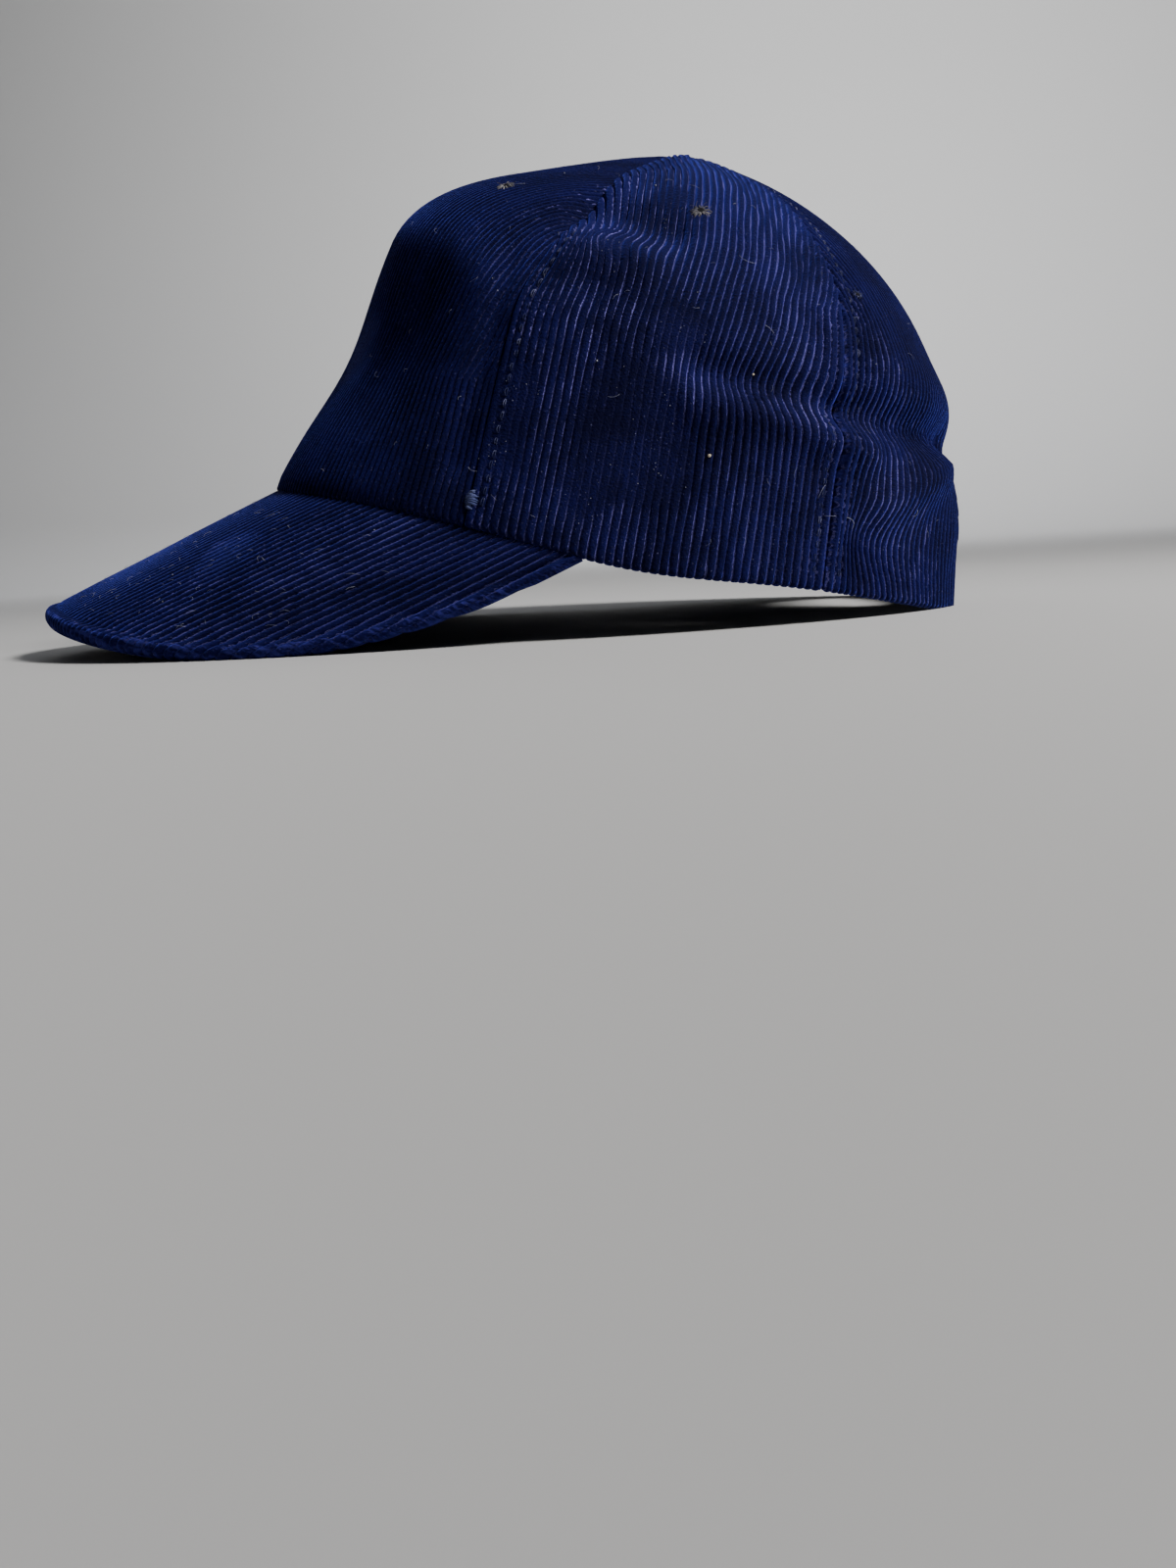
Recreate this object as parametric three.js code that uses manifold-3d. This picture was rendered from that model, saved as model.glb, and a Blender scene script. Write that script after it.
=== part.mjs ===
// A five-panel trucker cap in corduroy: a one-piece front, two sides, two backs with an arched
// opening closed by a strap, a curved peak of two covers, and a sweatband inside the rim.
// Millimetres. The cap is shaped in its own frame, with its rim on the plane z = 0, its front towards
// -Y and the wearer's left towards +X, and then leans back to stand on its peak and its back rim.
import * as THREE from "three";
import { mergeVertices } from "three/addons/utils/BufferGeometryUtils.js";
import Module from "manifold-3d";

const wasm = await Module();
wasm.setup();
const { degToRad, radToDeg, lerp, smoothstep } = THREE.MathUtils;

// Driving sizes
const rim = { halfLength: 99.5, halfWidth: 84, sag: 3.5, sagTurn: 92, sagSpan: 22, sagHeight: 45 };
const frontDrop = { depth: 1.5, span: 35 };
const crown = { height: 113.5, tipRadius: 16, tipSlope: 0.31, lastClimb: 0.995 };
const cloth = { wall: 1.8, gap: 0.3 };
const seam = { dip: 0.4, width: 5, flatBelow: 24 };
const arch = { halfWidth: 33, height: 45, past: 12 };
const peak = { halfSpan: 84.5, length: 75, droop: 37.4, camber: 0.2, fullness: 7, tuck: 1, cover: 2 };
const sweatband = { halfSpan: 152, low: 1.5, high: 25, wall: 1.4, gap: 0.8 };
const strap = { halfSpan: 25, low: 5, high: 23, wall: 1.5, gap: 0.5 };
const rest = { lean: 13.7, backRimY: 91, press: 1.3 };

// The crown's outline up from the rim, at stations counted in degrees from the front. The wall heads
// straight for a corner and from there for the tip. The corner lies at a share of the rim's reach, and
// it is rounded off over a share of each of the two legs.
const stations = [
  { azimuth: 0, cornerReach: 0.735, cornerHeight: 82.6, wallRound: 0.14, topRound: 0.2 },
  { azimuth: 35, cornerReach: 0.77, cornerHeight: 81.8, wallRound: 0.2, topRound: 0.28 },
  { azimuth: 66, cornerReach: 0.86, cornerHeight: 77, wallRound: 0.38, topRound: 0.44 },
  { azimuth: 95, cornerReach: 0.9, cornerHeight: 82, wallRound: 0.5, topRound: 0.6 },
  { azimuth: 126, cornerReach: 0.86, cornerHeight: 80.5, wallRound: 0.48, topRound: 0.65 },
  { azimuth: 180, cornerReach: 0.7, cornerHeight: 91, wallRound: 0.5, topRound: 0.85 },
];

// The two seams of each side panel, in degrees from the front, on the way up from the rim to the tip.
const seamWays = [
  { climb: 0, front: 63, back: 124 },
  { climb: 0.33, front: 62, back: 124.5 },
  { climb: 0.55, front: 66.5, back: 126 },
  { climb: 1, front: 68, back: 137 },
];

// Dents (negative) and ridges (positive) that run between two places on the crown, each given by its
// degrees from the front and its height. The wearer's right has them at a share of the left's depth.
const folds = [
  { name: "back crease", from: [162, 43], to: [124, 42.5], depth: -3.3, width: 5.5 },
  { name: "end of the back crease", from: [180, 41.5], to: [168, 42], depth: -1.9, width: 5 },
  { name: "side crease", from: [119.5, 43], to: [97, 45], depth: -2.8, width: 5 },
  { name: "back bulge", from: [180, 52], to: [135, 55], depth: 1.7, width: 7.5 },
  { name: "ledge under the crease", from: [130, 34.5], to: [97, 37.5], depth: 2.4, width: 5 },
  { name: "pull from the arch", from: [160, 38.5], to: [134, 21], depth: 2.2, width: 5.5 },
  { name: "flare beside the arch", from: [158, 22], to: [172, 26], depth: 2.1, width: 12 },
  { name: "pinch behind the front seam", from: [67, 80], to: [88, 77], depth: -3.4, width: 6 },
  { name: "swell under the pinch", from: [70, 68], to: [84, 66], depth: 2.2, width: 6.5 },
  { name: "valley before the front seam", from: [59.2, 14], to: [58.8, 62], depth: -1.1, width: 4.5 },
  { name: "side hollow", from: [88, 30], to: [90, 56], depth: -2, width: 20 },
  { name: "front hollow", from: [0, 37], to: [32, 38], depth: -3.8, width: 21 },
];
const rightShare = 0.7;
const headRadius = 90; // turns degrees round the head into lengths along it

const upwards = new THREE.Vector3(0, 0, 1);

// Where the wall stands

function rimReach(azimuth) {
  const across = Math.sin(azimuth) / rim.halfWidth;
  const along = Math.cos(azimuth) / rim.halfLength;
  return 1 / Math.hypot(across, along);
}

// Degrees from the front, the same on both sides.
function turnOf(azimuth) {
  const turn = Math.abs(radToDeg(azimuth));
  return turn > 180 ? 360 - turn : turn;
}

// The row of a table at a value of its first column, eased between the rows on either side of it.
function rowAt(table, column, value) {
  const found = table.findIndex((row) => row[column] >= value);
  const next = found < 0 ? table.length - 1 : Math.max(1, found);
  const [low, high] = [table[next - 1], table[next]];
  const share = smoothstep(value, low[column], high[column]);
  return Object.fromEntries(Object.keys(low).map((key) => [key, lerp(low[key], high[key], share)]));
}

// Reach and height at a climb from 0 on the rim to 1 at the tip.
function outline(azimuth, climb) {
  const station = rowAt(stations, "azimuth", turnOf(azimuth));
  const reach = rimReach(azimuth);
  const foot = new THREE.Vector2(reach, 0);
  const corner = new THREE.Vector2(station.cornerReach * reach, station.cornerHeight);
  const tip = new THREE.Vector2(0, crown.height);
  const roundStart = corner.clone().lerp(foot, station.wallRound);
  const roundEnd = corner.clone().lerp(tip, station.topRound);
  const wallLength = foot.distanceTo(roundStart);
  const topLength = roundEnd.distanceTo(tip);
  const round = new THREE.QuadraticBezierCurve(roundStart, corner, roundEnd);
  const way = climb * (wallLength + round.getLength() + topLength);
  let point;
  if (way < wallLength) point = foot.lerp(roundStart, way / wallLength);
  else if (way > wallLength + round.getLength()) {
    point = roundEnd.lerp(tip, (way - wallLength - round.getLength()) / topLength);
  } else point = round.getPoint((way - wallLength) / round.getLength());
  const tipShare = point.x / crown.tipRadius;
  point.y -= crown.tipSlope * crown.tipRadius * (Math.hypot(1, tipShare) - tipShare);
  return point;
}

// The rim hangs lower at the sides and the front, and the wall above it with it, less and less.
function dropAt(azimuth) {
  return frontDrop.depth * Math.exp(-((turnOf(azimuth) / frontDrop.span) ** 2));
}

function sagAt(azimuth, height) {
  const turn = (turnOf(azimuth) - rim.sagTurn) / rim.sagSpan;
  const sag = rim.sag * Math.exp(-turn * turn) + dropAt(azimuth);
  return sag * (1 - smoothstep(height, 0, rim.sagHeight));
}

function smoothCrown(azimuth, climb) {
  const { x: reach, y: height } = outline(azimuth, climb);
  const level = height - sagAt(azimuth, height);
  return new THREE.Vector3(reach * Math.sin(azimuth), -reach * Math.cos(azimuth), level);
}

function normalOf(surface, a, b) {
  const step = 1e-3;
  const alongA = surface(a + step, b).sub(surface(a - step, b));
  const alongB = surface(a, b + step).sub(surface(a, b - step));
  return alongA.cross(alongB).normalize();
}

// What seams and folds do to it

function foldLift(azimuth, height) {
  const place = new THREE.Vector3(degToRad(turnOf(azimuth)) * headRadius, height, 0);
  const side = lerp(rightShare, 1, smoothstep(Math.sin(azimuth), -0.35, 0.35));
  return folds.reduce((lift, fold) => {
    const ends = [fold.from, fold.to].map(
      ([turn, level]) => new THREE.Vector3(degToRad(turn) * headRadius, level, 0),
    );
    const nearest = new THREE.Line3(...ends).closestPointToPoint(place, true, new THREE.Vector3());
    return lift + side * fold.depth * Math.exp(-((nearest.distanceTo(place) / fold.width) ** 2));
  }, 0);
}

const frontSeam = (climb) => degToRad(rowAt(seamWays, "climb", climb).front);
const backSeam = (climb) => degToRad(rowAt(seamWays, "climb", climb).back);

function seamDip(azimuth, climb, point) {
  const reach = Math.hypot(point.x, point.y);
  const turn = degToRad(turnOf(azimuth));
  const turns = [frontSeam(climb), backSeam(climb), Math.PI].map((line) => Math.abs(turn - line));
  const distance = reach * Math.min(...turns);
  const fade = smoothstep(point.z, seam.flatBelow, 2 * seam.flatBelow);
  return -seam.dip * fade * Math.exp(-((distance / seam.width) ** 2));
}

// A point of the crown, so deep under its outer face. The rim's lower face is level from out to in.
// Near the tip, where the panels come to a point, depth is taken straight down.
function crownPoint(azimuth, climb, depth) {
  const point = smoothCrown(azimuth, climb);
  const lift = foldLift(azimuth, point.z) + seamDip(azimuth, climb, point);
  const straightUp = smoothstep(climb, 0.8, 0.97);
  const out = normalOf(smoothCrown, azimuth, climb).lerp(upwards, straightUp).normalize();
  point.addScaledVector(out, lift - depth);
  point.z = Math.max(point.z, -sagAt(azimuth, 0));
  return point;
}

// The surface that the cap stands on, seen from the cap: cloth below it is pressed flat.
const floorUp = new THREE.Vector3(0, -Math.sin(degToRad(rest.lean)), Math.cos(degToRad(rest.lean)));
const floor = new THREE.Plane(floorUp).setFromNormalAndCoplanarPoint(
  floorUp,
  new THREE.Vector3(0, rest.backRimY, 0).addScaledVector(floorUp, rest.press),
);

function pressFlat(point) {
  return floor.distanceToPoint(point) < 0 ? floor.projectPoint(point, new THREE.Vector3()) : point;
}

// Solids

// A closed wall between two grids of points, rows of columns, that face each other.
function wallBetween(outer, inner) {
  const triangles = [];
  const quad = (a, b, c, d) => triangles.push(a, b, c, a, c, d);
  const rows = outer.length - 1;
  const columns = outer[0].length - 1;
  for (let r = 0; r < rows; r++) {
    for (let c = 0; c < columns; c++) {
      quad(outer[r][c], outer[r][c + 1], outer[r + 1][c + 1], outer[r + 1][c]);
      quad(inner[r][c], inner[r + 1][c], inner[r + 1][c + 1], inner[r][c + 1]);
    }
    quad(outer[r][0], outer[r + 1][0], inner[r + 1][0], inner[r][0]);
    quad(outer[r][columns], inner[r][columns], inner[r + 1][columns], outer[r + 1][columns]);
  }
  for (let c = 0; c < columns; c++) {
    quad(outer[0][c], inner[0][c], inner[0][c + 1], outer[0][c + 1]);
    quad(outer[rows][c], outer[rows][c + 1], inner[rows][c + 1], inner[rows][c]);
  }
  const geometry = new THREE.BufferGeometry().setFromPoints(triangles.map(pressFlat));
  return new THREE.BufferGeometry().copy(withoutSlivers(mergeVertices(geometry, 1e-3)));
}

// A panel's tip brings columns together, and the triangles that this flattens are dropped.
function withoutSlivers(geometry) {
  const old = geometry.index.array;
  const kept = [];
  for (let i = 0; i < old.length; i += 3) {
    const [a, b, c] = old.slice(i, i + 3);
    if (a !== b && b !== c && c !== a) kept.push(a, b, c);
  }
  return geometry.setIndex(kept);
}

function grid(rows, columns, pointAt) {
  return Array.from({ length: rows + 1 }, (_, r) =>
    Array.from({ length: columns + 1 }, (_, c) => pointAt(r / rows, c / columns)),
  );
}

// A crown panel between two seams, each a function of the climb, with half the seam's gap on each side.
function panelWall(from, to, columns, rows = 20) {
  const pointAt = (depth) => (up, across) => {
    const climb = crown.lastClimb * up;
    const [start, end] = [from(climb), to(climb)];
    const reach = outline((start + end) / 2, climb).x;
    const margin = Math.min(cloth.gap / 2 / reach, (end - start) / 2);
    const turn = up === 1 ? (start + end) / 2 : lerp(start + margin, end - margin, across);
    return crownPoint(turn, climb, depth);
  };
  return wallBetween(grid(rows, columns, pointAt(0)), grid(rows, columns, pointAt(cloth.wall)));
}

// A strip inside the crown between two heights, that keeps a gap to the panels.
function innerStrip(start, end, columns, rows, { low, high, wall, gap }) {
  const climbAt = (azimuth, level) => level / outline(azimuth, 0.3).y * 0.3;
  const pointAt = (depth) => (up, across) => {
    const azimuth = degToRad(lerp(start, end, across));
    return crownPoint(azimuth, climbAt(azimuth, lerp(low, high, up)), depth);
  };
  const near = cloth.wall + gap;
  return wallBetween(grid(rows, columns, pointAt(near)), grid(rows, columns, pointAt(near + wall)));
}

function toSolid(geometry) {
  const bare = geometry.index ? geometry.toNonIndexed() : geometry.clone();
  bare.deleteAttribute("normal");
  bare.deleteAttribute("uv");
  const merged = mergeVertices(bare);
  return new wasm.Manifold(
    new wasm.Mesh({
      numProp: 3,
      vertProperties: new Float32Array(merged.attributes.position.array),
      triVerts: new Uint32Array(merged.index.array),
    }),
  );
}

function cutFrom(geometry, cutter) {
  const mesh = toSolid(geometry).subtract(toSolid(cutter)).getMesh();
  return new THREE.BufferGeometry()
    .setAttribute("position", new THREE.BufferAttribute(mesh.vertProperties, 3))
    .setIndex(new THREE.BufferAttribute(mesh.triVerts, 1));
}

// The arch over the strap, as a bar through the back wall.
function archBar() {
  const outlineShape = new THREE.Shape();
  outlineShape.moveTo(arch.halfWidth, -arch.past);
  outlineShape.absellipse(0, 0, arch.halfWidth, arch.height, 0, Math.PI, false);
  outlineShape.lineTo(-arch.halfWidth, -arch.past);
  const depth = rim.halfLength;
  return new THREE.ExtrudeGeometry(outlineShape, { depth, bevelEnabled: false, curveSegments: 16 })
    .rotateX(Math.PI / 2)
    .translate(0, depth + arch.past + rim.halfLength / 2, 0);
}

// The peak is a board bent along straight lines that run forwards and down from the rim.
const peakRun = new THREE.Vector3(0, -Math.cos(degToRad(peak.droop)), -Math.sin(degToRad(peak.droop)));

function peakPoint(side, along, depth) {
  const azimuth = degToRad(peak.halfSpan) * side;
  const root = new THREE.Vector3(
    (rim.halfWidth - peak.tuck) * Math.sin(azimuth),
    -(rim.halfLength - peak.tuck) * Math.cos(azimuth),
    -cloth.gap - sagAt(azimuth, 0) + dropAt(azimuth) * along,
  );
  const rimway = new THREE.Vector3(
    rim.halfWidth * Math.cos(azimuth),
    rim.halfLength * Math.sin(azimuth),
    0,
  );
  const up = peakRun.clone().cross(rimway).normalize();
  const length = peak.length * Math.sqrt(1 - Math.abs(side) ** peak.fullness);
  const bow = peak.camber * 4 * along * (1 - along);
  return root.addScaledVector(peakRun, length * along).addScaledVector(up, bow - depth);
}

// One of the peak's covers, from a depth under its upper face. Columns crowd towards the corners.
function peakCover(depth, columns = 30, rows = 8) {
  const lastTurn = 0.96 * Math.PI / 2;
  const pointAt = (under) => (along, across) =>
    peakPoint(Math.sin(lerp(-lastTurn, lastTurn, across)), 1 - along, under);
  return wallBetween(
    grid(rows, columns, pointAt(depth)),
    grid(rows, columns, pointAt(depth + peak.cover)),
  );
}

// The cap

const navy = { color: 0x141c52, roughness: 0.9, metalness: 0 };
const corduroy = new THREE.MeshStandardMaterial(navy);
const bandCloth = new THREE.MeshStandardMaterial({ ...navy, color: 0x10163c, roughness: 0.85 });
const strapPlastic = new THREE.MeshStandardMaterial({ ...navy, color: 0x0e1330, roughness: 0.45 });

const cap = new THREE.Group();

function addPiece(name, geometry, material) {
  geometry.computeVertexNormals();
  const mesh = new THREE.Mesh(geometry, material);
  mesh.name = name;
  cap.add(mesh);
}

const mirrored = (line) => (climb) => -line(climb);
const backMiddle = () => Math.PI;

addPiece("front_panel", panelWall(mirrored(frontSeam), frontSeam, 28), corduroy);
addPiece("side_panel_left", panelWall(frontSeam, backSeam, 14), corduroy);
addPiece("side_panel_right", panelWall(mirrored(backSeam), mirrored(frontSeam), 14), corduroy);
addPiece("back_panel_left", cutFrom(panelWall(backSeam, backMiddle, 14), archBar()), corduroy);
addPiece(
  "back_panel_right",
  cutFrom(panelWall(mirrored(backMiddle), mirrored(backSeam), 14), archBar()),
  corduroy,
);
addPiece("peak_top", peakCover(0), corduroy);
addPiece("peak_under", peakCover(peak.cover + cloth.gap), corduroy);
addPiece(
  "sweatband",
  innerStrip(-sweatband.halfSpan, sweatband.halfSpan, 56, 3, sweatband),
  bandCloth,
);
addPiece(
  "back_strap",
  innerStrip(180 - strap.halfSpan, 180 + strap.halfSpan, 14, 2, strap),
  strapPlastic,
);

// It leans back until the peak's edges and the back rim stand on z = 0, under the middle of its box.
const part = new THREE.Group();
cap.rotation.x = -degToRad(rest.lean);
part.add(cap);
part.updateMatrixWorld(true);
const box = new THREE.Box3().setFromObject(part, true);
cap.position.set(-(box.min.x + box.max.x) / 2, -(box.min.y + box.max.y) / 2, -box.min.z);

export default part;
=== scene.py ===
import math
import bpy
import numpy as np
from mathutils import Matrix, Vector


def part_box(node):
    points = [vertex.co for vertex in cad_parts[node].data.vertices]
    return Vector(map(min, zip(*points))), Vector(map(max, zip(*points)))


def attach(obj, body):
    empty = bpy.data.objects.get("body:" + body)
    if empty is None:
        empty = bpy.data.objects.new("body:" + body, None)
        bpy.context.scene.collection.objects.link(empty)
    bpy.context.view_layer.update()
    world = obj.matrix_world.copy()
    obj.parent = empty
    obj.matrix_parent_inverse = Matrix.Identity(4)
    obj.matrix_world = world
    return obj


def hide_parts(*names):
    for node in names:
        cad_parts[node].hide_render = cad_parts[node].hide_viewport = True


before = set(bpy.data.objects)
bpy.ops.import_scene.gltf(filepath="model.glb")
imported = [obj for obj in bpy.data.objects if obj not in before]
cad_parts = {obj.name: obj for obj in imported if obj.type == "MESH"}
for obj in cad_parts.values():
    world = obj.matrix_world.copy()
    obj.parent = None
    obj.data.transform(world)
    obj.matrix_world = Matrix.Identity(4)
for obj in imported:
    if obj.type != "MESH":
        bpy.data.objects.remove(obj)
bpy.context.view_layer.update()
bpy.ops.object.select_all(action="DESELECT")
print("frame loaded")


class Sizes(dict):  # a dictionary whose values also read as names: rim.sag
    __getattr__ = dict.__getitem__


mm = 0.001  # the cap is shaped in millimetres, in its own frame: rim level, front to -Y

# the crown's form, from the tables that the solids have
rim = Sizes(halfLength=99.5, halfWidth=84, sag=3.5, sagTurn=92, sagSpan=22, sagHeight=45)
frontDrop = Sizes(depth=1.5, span=35)
crown = Sizes(
    height=113.5, tipRadius=16, tipSlope=0.31, lastClimb=0.995, headRadius=90,
    wall=1.8,             # of the solids
    chords=17,            # the bend over the shoulder is measured in these
    upright=(0.8, 0.97),  # between these climbs the way out of the cloth turns straight up
    rightShare=0.7,       # folds are shallower on the right
    sideBlend=0.35,
)
stations = [  # degrees from the front, the corner's reach and height, and how far wall and top are rounded
    (0, 0.735, 82.6, 0.14, 0.2),
    (35, 0.77, 81.8, 0.2, 0.28),
    (66, 0.86, 77, 0.38, 0.44),
    (95, 0.9, 82, 0.5, 0.6),
    (126, 0.86, 80.5, 0.48, 0.65),
    (180, 0.7, 91, 0.5, 0.85),
]
seamWays = [(0, 63, 124), (0.33, 62, 124.5), (0.55, 66.5, 126), (1, 68, 137)]  # climb, front and back seam
folds = {  # from and to as degrees from the front and height, then depth and width
    "back crease": ((162, 43), (124, 42.5), -4.2, 4.8),  # the solid's depth is -3.3
    "end of the back crease": ((180, 41.5), (168, 42), -1.9, 5),
    "side crease": ((119.5, 43), (97, 45), -2.8, 5),
    "back bulge": ((180, 52), (135, 55), 1.7, 7.5),
    "ledge under the crease": ((130, 34.5), (97, 37.5), 2.4, 5),
    "pull from the arch": ((156, 37), (134, 21), 3.0, 5.5),  # the solid's depth is 2.2
    "flare beside the arch": ((158, 22), (172, 26), 2.1, 12),
    "pinch behind the front seam": ((67, 80), (88, 77), -3.4, 6),
    "swell under the pinch": ((70, 68), (84, 66), 2.2, 6.5),
    "valley before the front seam": ((59.2, 14), (58.8, 62), -1.1, 4.5),
    "side hollow": ((88, 30), (90, 56), -2, 20),
    "front hollow": ((0, 37), (32, 38), -3.8, 21),
}
seam = Sizes(
    dip=0.4, width=5, flatBelow=24,
    gap=0.06,      # between the cloths of two panels
    tipShare=2.2,  # at the tip the gap takes no more than this part of a panel
    nearby=20,     # degrees
)
rest = Sizes(lean=13.7, backRimY=91, press=1.3)


def unit(vector):
    return vector / np.linalg.norm(vector, axis=-1, keepdims=True)


def smooth(value, low, high):
    share = np.clip((value - low) / (high - low), 0, 1)
    return share * share * (3 - 2 * share)


def bell(distance, width):
    return np.exp(-(distance / width) ** 2)


def runAlong(points):  # the way walked from the first point to each
    return np.concatenate([[0], np.cumsum(np.linalg.norm(np.diff(points, axis=0), axis=-1))])


def eased(table, value):  # the other columns at a value of the first, with smooth steps from row to row
    keys, *columns = np.array(table, float).T
    after = np.clip(np.searchsorted(keys, value), 1, len(keys) - 1)
    share = smooth(value, keys[after - 1], keys[after])
    return [cells[after - 1] + (cells[after] - cells[after - 1]) * share for cells in columns]


def turnOf(azimuth):  # degrees from the front, the same on both sides
    turn = np.abs(np.degrees(azimuth))
    return np.where(turn > 180, 360 - turn, turn)


def outline(azimuth, climb):  # reach and height, from the rim at 0 to the tip at 1
    azimuth, climb = np.broadcast_arrays(azimuth, climb)
    cornerReach, cornerZ, wallRound, topRound = eased(stations, turnOf(azimuth))
    reach = 1 / np.hypot(np.sin(azimuth) / rim.halfWidth, np.cos(azimuth) / rim.halfLength)
    cornerX = cornerReach * reach
    startX = cornerX + (reach - cornerX) * wallRound
    startZ = cornerZ * (1 - wallRound)
    endX = cornerX * (1 - topRound)
    endZ = cornerZ + (crown.height - cornerZ) * topRound

    def bend(t):
        a, b, c = (1 - t) ** 2, 2 * t * (1 - t), t ** 2
        return a * startX + b * cornerX + c * endX, a * startZ + b * cornerZ + c * endZ
    chords = [bend(t) for t in np.linspace(0, 1, crown.chords)]
    bendLength = sum(np.hypot(q[0] - p[0], q[1] - p[1]) for p, q in zip(chords, chords[1:]))
    wallLength = np.hypot(reach - startX, startZ)
    topLength = np.hypot(endX, crown.height - endZ)
    way = climb * (wallLength + bendLength + topLength)
    wallShare = np.clip(way / wallLength, 0, 1)
    topShare = np.clip((way - wallLength - bendLength) / topLength, 0, None)
    bentX, bentZ = bend(np.clip((way - wallLength) / bendLength, 0, 1))
    x = np.where(wallShare < 1, reach + (startX - reach) * wallShare, bentX - endX * topShare)
    z = np.where(wallShare < 1, startZ * wallShare, bentZ + (crown.height - endZ) * topShare)
    tipShare = x / crown.tipRadius
    z = z - crown.tipSlope * crown.tipRadius * (np.hypot(1, tipShare) - tipShare)
    return x, z


def dropAt(azimuth):
    return frontDrop.depth * bell(turnOf(azimuth), frontDrop.span)


def sagAt(azimuth, height):
    sag = rim.sag * bell(turnOf(azimuth) - rim.sagTurn, rim.sagSpan)
    return (sag + dropAt(azimuth)) * (1 - smooth(height, 0, rim.sagHeight))


def smoothCrown(azimuth, climb):  # the crown without its folds
    reach, height = outline(azimuth, climb)
    sunk = height - sagAt(azimuth, height)
    return np.stack([reach * np.sin(azimuth), -reach * np.cos(azimuth), sunk], -1)


def foldLift(azimuth, height):
    place = np.stack([np.radians(turnOf(azimuth)) * crown.headRadius, height], -1)
    lift = np.zeros(height.shape)
    for *ends, depth, width in folds.values():
        start, end = [np.array([math.radians(turn) * crown.headRadius, level]) for turn, level in ends]
        way = end - start
        along = np.clip((place - start) @ way / (way @ way), 0, 1)
        distance = np.linalg.norm(place - start - along[..., None] * way, axis=-1)
        lift += depth * bell(distance, width)
    onLeft = smooth(np.sin(azimuth), -crown.sideBlend, crown.sideBlend)
    return lift * (crown.rightShare + (1 - crown.rightShare) * onLeft)


def frontSeam(climb):
    return np.radians(eased(seamWays, climb)[0])


def backSeam(climb):
    return np.radians(eased(seamWays, climb)[1])


def backMiddle(climb):
    return np.pi + 0 * climb


def seamDistance(azimuth, climb, point):
    turn = np.radians(turnOf(azimuth))
    turns = [np.abs(turn - line(climb)) for line in (frontSeam, backSeam, backMiddle)]
    return np.hypot(point[..., 0], point[..., 1]) * np.min(turns, axis=0)


def crownPoint(azimuth, climb, depth=0.0):
    azimuth, climb = np.broadcast_arrays(azimuth, climb)
    point = smoothCrown(azimuth, climb)
    step = 1e-3
    across = smoothCrown(azimuth + step, climb) - smoothCrown(azimuth - step, climb)
    up = smoothCrown(azimuth, climb + step) - smoothCrown(azimuth, climb - step)
    upright = smooth(climb, *crown.upright)[..., None]
    out = unit(unit(np.cross(across, up)) * (1 - upright) + np.array([0, 0, 1]) * upright)
    distance = seamDistance(azimuth, climb, point)
    fade = smooth(point[..., 2], seam.flatBelow, 2 * seam.flatBelow)
    lift = foldLift(azimuth, point[..., 2]) - seam.dip * fade * bell(distance, seam.width)
    point = point + out * (lift - depth)[..., None]
    point[..., 2] = np.maximum(point[..., 2], -sagAt(azimuth, 0))
    return point


peak = Sizes(halfSpan=84.5, length=75, droop=37.4, camber=0.2, fullness=7, tuck=1, cover=2, gap=0.3)
peakRun = np.array([0, -math.cos(math.radians(peak.droop)), -math.sin(math.radians(peak.droop))])


def peakLength(side):  # from the rim to the edge, shorter towards the sides
    return peak.length * np.sqrt(np.maximum(0, 1 - np.abs(side) ** peak.fullness))


def peakPoint(side, along, depth=0.0):
    side, along = np.broadcast_arrays(side, along)
    azimuth = math.radians(peak.halfSpan) * side
    drop = dropAt(azimuth) * along
    root = np.stack([(rim.halfWidth - peak.tuck) * np.sin(azimuth),
                     -(rim.halfLength - peak.tuck) * np.cos(azimuth),
                     -peak.gap - sagAt(azimuth, 0) + drop], -1)
    rimWay = np.stack([rim.halfWidth * np.cos(azimuth), rim.halfLength * np.sin(azimuth),
                       0 * azimuth], -1)
    up = unit(np.cross(peakRun, rimWay))
    bow = peak.camber * 4 * along * (1 - along)
    return root + peakRun * (peakLength(side) * along)[..., None] + up * (bow - depth)[..., None]


# from the cap's frame to the shared one: it leans back on to the floor, and the floor presses it flat
lean = math.radians(rest.lean)
floorLevel = rest.press - math.sin(lean) * rest.backRimY


def leaned(point):
    x, y, z = point[..., 0], point[..., 1], point[..., 2]
    return np.stack([x, y * math.cos(lean) + z * math.sin(lean),
                     z * math.cos(lean) - y * math.sin(lean) - floorLevel], -1)


tipY = leaned(peakPoint(0, 1))[1]
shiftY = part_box("peak_top")[0][1] / mm - tipY  # the tip of the peak is at the solids' front


def toFrame(point):
    return (leaned(point) + np.array([0, shiftY, 0])) * mm


# shader maths

def operator(operation, swapped=False):  # a Math node for one of Python's operators
    def combine(self, other):
        return self.math(operation, other, self) if swapped else self.math(operation, self, other)
    return combine


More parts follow.
